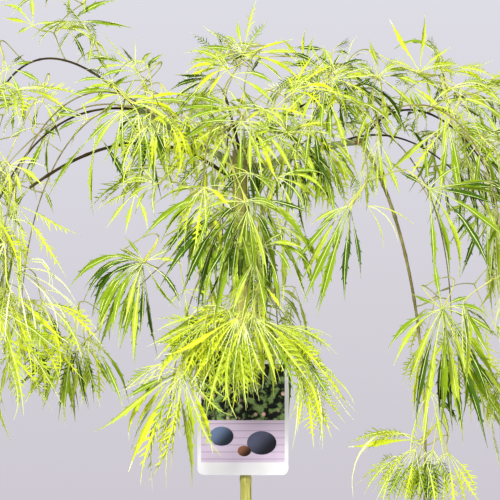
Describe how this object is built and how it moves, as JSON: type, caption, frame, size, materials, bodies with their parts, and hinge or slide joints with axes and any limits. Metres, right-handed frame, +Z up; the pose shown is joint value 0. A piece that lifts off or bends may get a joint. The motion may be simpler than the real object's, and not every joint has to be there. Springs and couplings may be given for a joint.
{
  "type": "potted weeping cut-leaf japanese maple",
  "caption": "Young weeping cut-leaf japanese maple, trained as a small standard on one thin stem, in a plain round nursery pot, with a picture label that carries no lettering.",
  "frame": {"origin": "centre of the pot's flat underside, on the surface the pot stands on", "axes": "+Z up the stem, +X to the right and +Y to the back when the label faces the viewer"},
  "size_m": [0.4635, 0.3876, 0.8615],
  "materials": {
    "pot_plastic": "satin moulded plastic, dark grey",
    "potting_mix": "damp crumbly bark and peat mix",
    "stem_bark": "smooth young yellow-green bark with fine lines and buds' scars",
    "bough_bark": "smooth brown-green young bark",
    "leaves": "soft satin leaf, lime to mid green",
    "label_card": "satin printed plastic card, white border"
  },
  "bodies": {
    "root": {"pot": "pot_plastic", "potting_mix": "potting_mix", "stem": "stem_bark", "bough_arm_left": "bough_bark", "bough_arm_right": "bough_bark", "bough_back_inner_fall": "bough_bark", "bough_back_inner_rise": "bough_bark", "bough_back_left_fall": "bough_bark", "bough_back_left_rise": "bough_bark", "bough_back_middle_fall": "bough_bark", "bough_back_middle_rise": "bough_bark", "bough_back_right_fall": "bough_bark", "bough_back_right_rise": "bough_bark", "bough_front_left_fall": "bough_bark", "bough_front_left_rise": "bough_bark", "bough_front_middle_fall": "bough_bark", "bough_front_middle_rise": "bough_bark", "bough_front_right_fall": "bough_bark", "bough_front_right_rise": "bough_bark", "bough_front_tress": "bough_bark", "bough_left_front": "bough_bark", "bough_left_high_fall": "bough_bark", "bough_left_high_rise": "bough_bark", "bough_left_inner": "bough_bark", "bough_left_low": "bough_bark", "bough_left_pruned": "bough_bark", "bough_left_thin": "bough_bark", "bough_right_high_fall": "bough_bark", "bough_right_high_rise": "bough_bark", "bough_right_low": "bough_bark", "bough_right_tress": "bough_bark", "bough_top_left": "bough_bark", "bough_top_right": "bough_bark", "leaves_back_crest": "leaves", "leaves_back_inner": "leaves", "leaves_back_left": "leaves", "leaves_back_middle": "leaves", "leaves_back_right": "leaves", "leaves_front": "leaves", "leaves_front_left": "leaves", "leaves_front_middle": "leaves", "leaves_front_right": "leaves", "leaves_front_tuft": "leaves", "leaves_left_crest": "leaves", "leaves_left_end_high": "leaves", "leaves_left_end_low": "leaves", "leaves_left_front_lock": "leaves", "leaves_left_inner": "leaves", "leaves_left_lock": "leaves", "leaves_left_shoulder": "leaves", "leaves_right_crest": "leaves", "leaves_right_end_high": "leaves", "leaves_right_end_low": "leaves", "leaves_right_inner": "leaves", "leaves_right_lock": "leaves", "leaves_right_lock_end": "leaves", "leaves_right_shoulder": "leaves", "leaves_top": "leaves", "label_card": "label_card", "label_loop": "label_card"}
  },
  "joints": []
}
